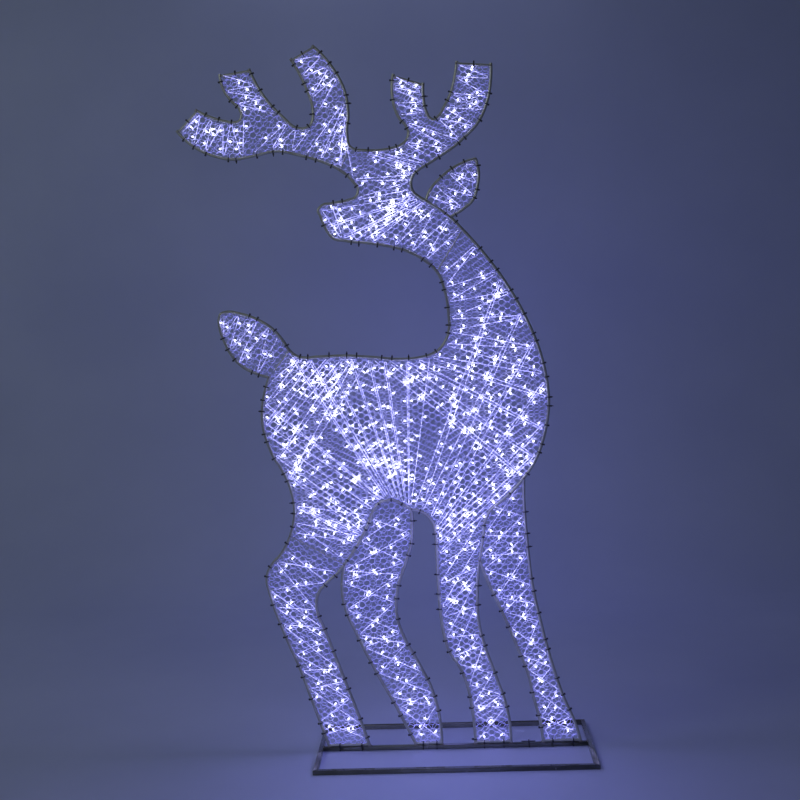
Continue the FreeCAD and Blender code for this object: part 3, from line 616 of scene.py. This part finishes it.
def centre_line(path):
    """Points along a string, with its turns rounded."""
    points = []
    for number, (start, end) in enumerate(path):
        if number:
            before = path[number - 1]
            gap = np.linalg.norm(start - before[1])
            leave = (before[1] - before[0]) / np.linalg.norm(before[1] - before[0]) * gap * 1.6
            arrive = (end - start) / np.linalg.norm(end - start) * gap * 1.6
            for t in (0.2, 0.4, 0.6, 0.8):
                points.append(before[1] * (1 + 2 * t) * (1 - t) ** 2 + leave * t * (1 - t) ** 2
                              + start * t * t * (3 - 2 * t) + arrive * t * t * (t - 1))
        count = max(1, round(np.linalg.norm(end - start) / STRAND_STEP))
        points += [start + (end - start) * k / count for k in range(count + 1)]
    return np.array(points)


def make_string_wires(node):
    """Every string of a node as two strands twisted round each other."""
    verts, quads = [], []
    for path in string_paths(node):
        points = centre_line(path)
        ways = np.gradient(points, axis=0)
        ways /= np.linalg.norm(ways, axis=1)[:, None]
        across = np.cross(ways, [0.0, 1.0, 0.0])
        across /= np.linalg.norm(across, axis=1)[:, None]
        out = np.cross(across, ways)
        walked = np.concatenate([[0.0], np.cumsum(np.linalg.norm(np.diff(points, axis=0), axis=1))])
        angle = (2 * math.pi / STRAND_PITCH * walked)[:, None]
        shift = STRAND * (np.cos(angle) * across + np.sin(angle) * out)
        tube(points + shift, STRAND, verts, quads)
        tube(points - shift, STRAND, verts, quads)
    points = np.concatenate(verts)
    wires = add_piece(node + "_strands", points, quads, [SHEATH], [node])
    set_light(wires, points)


# ---------------------------------------------------------------- floor frame
def rounded_square(size, steps=4):
    """Corner-rounded square about the origin, counterclockwise."""
    half = size / 2 - TUBE_EDGE
    centres = [(half, half), (-half, half), (-half, -half), (half, -half)]
    outline = []
    for quarter, (u, v) in enumerate(centres):
        for k in range(steps + 1):
            angle = math.pi / 2 * (quarter + k / steps)
            outline.append((u + TUBE_EDGE * math.cos(angle), v + TUBE_EDGE * math.sin(angle)))
    return outline


def square_tube(node, start, end, size, mitre):
    """A square tube with rounded edges; mitre 1 cuts both ends at 45 degrees, 0 cuts them square."""
    outline = rounded_square(size)
    way = (end - start).normalized()
    outward = way.cross(Vector((0, 0, 1)))
    verts, count = [], len(outline)
    for spot, sense in ((start, -1), (end, 1)):
        for u, v in outline:
            verts.append(spot + outward * u + Vector((0, 0, v)) + way * (sense * mitre * u))
    faces = [(k, (k + 1) % count, count + (k + 1) % count, count + k) for k in range(count)]
    faces += [tuple(reversed(range(count))), tuple(range(count, 2 * count))]
    add_piece(node.replace("_tube", "_rail"), verts, faces, [SHADED_BASE_PAINT], [node])


def base_corners():
    """Centre-line corners of the floor frame, counterclockwise from above."""
    half_x, half_y = (high[0] - low[0] - BASE_Z) / 2, -low[1] - BASE_Z / 2
    return [Vector((BASE_X + x * half_x, y * half_y, BASE_Z / 2))
            for x, y in ((-1, -1), (1, -1), (1, 1), (-1, 1))]


def make_base():
    corners = base_corners()
    for number, side in enumerate(("front", "right", "rear", "left")):
        square_tube("base_" + side + "_tube", corners[number], corners[(number + 1) % 4], BASE_Z, 1)
    bar_low, bar_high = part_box("base_centre_tube")
    size = bar_high[2] - bar_low[2]
    height = (bar_high[2] + bar_low[2]) / 2
    square_tube("base_centre_tube", Vector((bar_low[0], 0, height)), Vector((bar_high[0], 0, height)),
                size, 0)


# ---------------------------------------------------------------- zip ties' tails
def make_tie_tails():
    """The cut tail beyond each tie's head: a thin strip, bent a little to one side."""
    points, triangles = node_mesh("zip_ties")
    verts, faces = [], []
    for number, island in enumerate(members(groups(triangles))):
        spots = points[island]
        middle = (spots.max(axis=0) + spots.min(axis=0)) / 2
        far = np.linalg.norm(spots - middle, axis=1)
        head = spots[far > far.max() - 0.0004].mean(axis=0)
        out = Vector(head - middle)
        if out.length < LEAST_HEAD:
            continue
        out.normalize()
        along = Vector((-out.z, 0, out.x)) if abs(out.y) < 0.5 else Vector((1, 0, 0))
        thick = out.cross(along)
        length = TAIL_LEAST + TAIL_SPREAD * (0.5 + 0.5 * math.sin(2.4 * number))
        bend = TAIL_BEND * math.sin(4.1 * number)
        base = len(verts)
        for share in (-0.25, 0.35, 0.7, 1.0):
            spot = Vector(head) + out * (length * share) + thick * (bend * max(share, 0) ** 2)
            for w, t in ((-1, -1), (1, -1), (1, 1), (-1, 1)):
                verts.append(spot + along * (w * TAIL_WIDTH / 2) + thick * (t * TAIL_THICK / 2))
        for ring in range(3):
            here = base + 4 * ring
            faces += [(here + k, here + (k + 1) % 4, here + 4 + (k + 1) % 4, here + 4 + k)
                      for k in range(4)]
        faces += [tuple(base + k for k in (3, 2, 1, 0)), tuple(base + 12 + k for k in range(4))]
    add_piece("zip_tie_tails", verts, faces, [NYLON])


# ---------------------------------------------------------------- welds
def bead(form, centre, radius, seed):
    """Adds one lumpy weld bead."""
    made = bmesh.ops.create_icosphere(form, subdivisions=2, radius=radius)
    for vert in made["verts"]:
        lump = 1 + 0.28 * noise.noise(vert.co * 900 + Vector((seed, 0, 0)))
        vert.co = centre + vert.co * lump


def make_welds():
    form = bmesh.new()
    seed = 0.0
    for x, z, radius in WELDS:
        for side in (-1, 1):
            spot = Vector((BASE_X + x / 1000, side * ROD_WELD_SIDE, z / 1000))
            bead(form, spot, radius / 1000, seed)
            seed += 3.7
    for x in FEET:
        for side in (-1, 1):
            for step in FOOT_ROW:
                spot = Vector((BASE_X + x / 1000 + step, side * FOOT_WELD_SIDE, BASE_Z + 0.0004))
                bead(form, spot, FOOT_BEAD, seed)
                seed += 3.7
    for corner in base_corners():
        out = Vector((math.copysign(1, corner.x - BASE_X), math.copysign(1, corner.y), 0))
        for step in MITRE_ROW:
            spot = corner + out * step
            spot.z = BASE_Z - 0.0003
            bead(form, spot, MITRE_BEAD, seed)
            seed += 3.7
    bar_low, bar_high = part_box("base_centre_tube")
    for x in (bar_low[0], bar_high[0]):
        for y in BAR_ROW:
            bead(form, Vector((x, y, BASE_Z - 0.0002)), BAR_BEAD, seed)
            seed += 3.7
    mesh = bpy.data.meshes.new("weld_beads")
    form.to_mesh(mesh)
    form.free()
    mesh.materials.append(WELD)
    mesh.shade_smooth()
    piece = bpy.data.objects.new("weld_beads", mesh)
    bpy.context.collection.objects.link(piece)
    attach(piece, "root")


# ---------------------------------------------------------------- CAD nodes keep their shape
def dress_cad():
    plain = {"zip_ties": NYLON, "inlet_socket": SOCKET, "inlet_pins": PINS}
    for name, found in nodes.items():
        material = plain.get(name, STAY_WIRE if name.endswith("_stay") else PAINT)
        for slot in found.material_slots:
            slot.material = material
        if not found.material_slots:
            found.data.materials.append(material)


# ---------------------------------------------------------------- stage, light and camera
def make_stage():
    """A pale floor that curves up into plain walls on all four sides."""
    half_x, front, rear, corner, bend, top = 4.5, -5.0, 1.4, 1.0, 1.2, 6.0
    middle, half_y, steps = (front + rear) / 2, (rear - front) / 2, 8
    angles = [math.pi / 32 * k for k in range(17)]
    profile = [(bend * math.sin(angle), bend - bend * math.cos(angle)) for angle in angles]
    profile.append((bend, top))
    verts = []
    for out, height in profile:
        for quarter, (u, v) in enumerate(((1, 1), (-1, 1), (-1, -1), (1, -1))):
            for k in range(steps + 1):
                angle = math.pi / 2 * (quarter + k / steps)
                verts.append((u * (half_x - corner) + (corner + out) * math.cos(angle),
                              middle + v * (half_y - corner) + (corner + out) * math.sin(angle), height))
    count = 4 * (steps + 1)
    faces = [tuple(range(count))]
    for ring in range(len(profile) - 1):
        here, above = ring * count, (ring + 1) * count
        faces += [(here + k, above + k, above + (k + 1) % count, here + (k + 1) % count)
                  for k in range(count)]
    mesh = bpy.data.meshes.new("floor")
    mesh.from_pydata(verts, [], faces)
    mesh.materials.append(floor_material())
    mesh.shade_smooth()
    floor = bpy.data.objects.new("floor", mesh)
    bpy.context.collection.objects.link(floor)


def add_light(name, place, aim, size, power, colour):
    data = bpy.data.lights.new(name, "AREA")
    data.shape, data.size, data.energy, data.color = "DISK", size, power, colour
    lamp = bpy.data.objects.new(name, data)
    lamp.location = place
    lamp.rotation_euler = (Vector(aim) - Vector(place)).to_track_quat("-Z", "Y").to_euler()
    bpy.context.collection.objects.link(lamp)


def add_glow(place, power):
    """A soft lamp that stands for the LEDs' light on the floor and the wall."""
    data = bpy.data.lights.new("glow", "POINT")
    data.shadow_soft_size, data.energy, data.color = 0.25, power, (0.25, 0.25, 1.0)
    lamp = bpy.data.objects.new("glow", data)
    lamp.location = place
    bpy.context.collection.objects.link(lamp)


def make_lights():
    world = bpy.data.worlds.new("studio")
    bpy.context.scene.world = world
    world.use_nodes = True
    world.node_tree.nodes["Background"].inputs["Color"].default_value = (0.40, 0.48, 0.60, 1)
    world.node_tree.nodes["Background"].inputs["Strength"].default_value = 0.05
    add_light("key", (-3.4, -1.8, 3.0), (-1.2, 1.6, 1.4), 2.2, 17, (0.90, 1.0, 0.94))
    add_light("fill", (-0.9, -3.2, 2.2), (-0.1, 0, 1.1), 1.6, 4, (0.92, 1.0, 0.92))
    add_light("back", (0.0, 2.1, 3.2), (-0.2, 0, 0.6), 2.0, 5, (0.56, 0.62, 1.0))
    add_glow((BASE_X, -0.30, 0.55), 3.0)
    add_glow((BASE_X, 1.5, 1.0), 5.5)
    bpy.context.scene.view_settings.view_transform = "Standard"


def make_camera():
    """Three metres in front, a little above the figure's middle, tipped down and slightly rolled."""
    down, left, roll = (math.radians(angle) for angle in (CAMERA_DOWN, CAMERA_LEFT, CAMERA_ROLL))
    ahead = Vector((-math.sin(left) * math.cos(down), math.cos(left) * math.cos(down),
                    -math.sin(down)))
    level = Vector((math.cos(left), math.sin(left), 0))
    above = level.cross(ahead)
    right = level * math.cos(roll) + above * math.sin(roll)
    up = above * math.cos(roll) - level * math.sin(roll)
    data = bpy.data.cameras.new("camera")
    data.lens, data.sensor_width = LENS_LENGTH, SENSOR
    camera = bpy.data.objects.new("camera", data)
    turn = Matrix((right, up, -ahead)).transposed()
    camera.matrix_world = Matrix.Translation(CAMERA_PLACE) @ turn.to_4x4()
    bpy.context.collection.objects.link(camera)
    bpy.context.scene.camera = camera


make_camera()
make_stage()
make_lights()
dress_cad()
make_base()
lamp_axes = {node: led_axes(node) for node in ("front_leds", "rear_leds")}
LAMPS = [foot + way * (LIGHT_PLACE * length) for axes in lamp_axes.values() for foot, way, length in axes]
for number, (net, (turn, *step)) in enumerate(NETS.items()):
    make_layer(net, -1, 0, (0, 0), 1.3 * number + 0.4)
    make_layer(net, 1, turn, step, 1.3 * number + 2.9)
for node, axes in lamp_axes.items():
    make_leds(node, axes)
make_string_wires("front_string_wire")
make_string_wires("rear_string_wire")
make_tie_tails()
make_welds()
